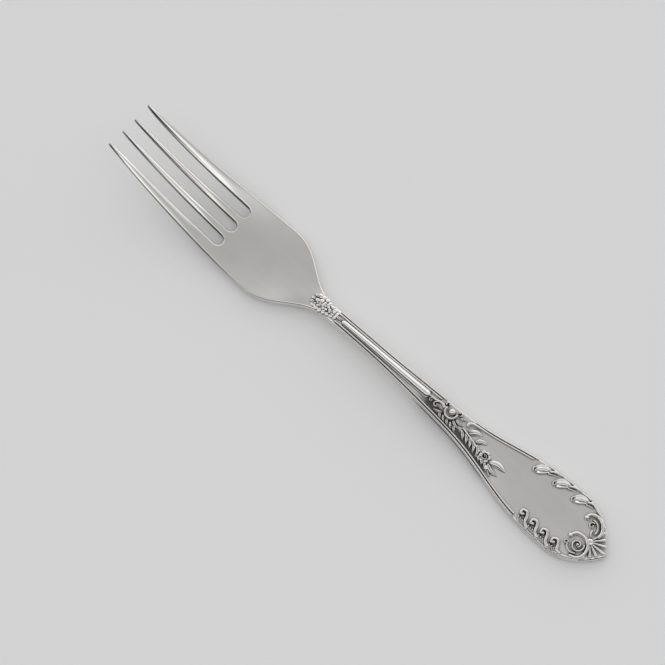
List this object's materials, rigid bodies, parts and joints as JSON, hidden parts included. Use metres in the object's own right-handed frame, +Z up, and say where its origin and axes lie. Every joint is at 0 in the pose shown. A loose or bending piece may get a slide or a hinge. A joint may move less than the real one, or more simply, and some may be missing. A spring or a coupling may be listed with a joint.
{
  "type": "dessert fork",
  "caption": "Silver dessert fork with slim curved tines, a dished palm, a reeded stem and an asymmetric handle edged with raised scrolls, leaves and a shell.",
  "frame": {"origin": "below the middle of the fork's length, on the surface that it lies on", "axes": "+X along the fork from the tine tips to the handle's end, +Y across it, +Z up out of the ornamented face"},
  "size_m": [0.172, 0.022, 0.0133],
  "materials": {
    "plain_silver": "polished",
    "relief_silver": "satin"
  },
  "bodies": {
    "root": {"tine_1": "plain_silver", "tine_2": "plain_silver", "tine_3": "plain_silver", "tine_4": "plain_silver", "palm": "plain_silver", "stem": "plain_silver", "handle": "plain_silver", "neck_flower_cluster": "relief_silver", "stem_rib": "relief_silver", "upper_outer_stem_thread": "relief_silver", "upper_inner_stem_thread": "relief_silver", "lower_outer_thread": "relief_silver", "lower_inner_thread": "relief_silver", "upper_outer_handle_thread": "relief_silver", "upper_inner_handle_thread": "relief_silver", "scroll_cartouche": "relief_silver", "spray_upper_leaves": "relief_silver", "spray_rose": "relief_silver", "spray_lower_leaves": "relief_silver", "leaf_bud_1": "relief_silver", "leaf_bud_2": "relief_silver", "leaf_bud_3": "relief_silver", "edge_curl_1": "relief_silver", "edge_curl_2": "relief_silver", "edge_curl_3": "relief_silver", "edge_curl_4": "relief_silver", "upper_end_scroll": "relief_silver", "lower_end_scroll": "relief_silver", "shell_finial": "relief_silver"}
  },
  "joints": []
}
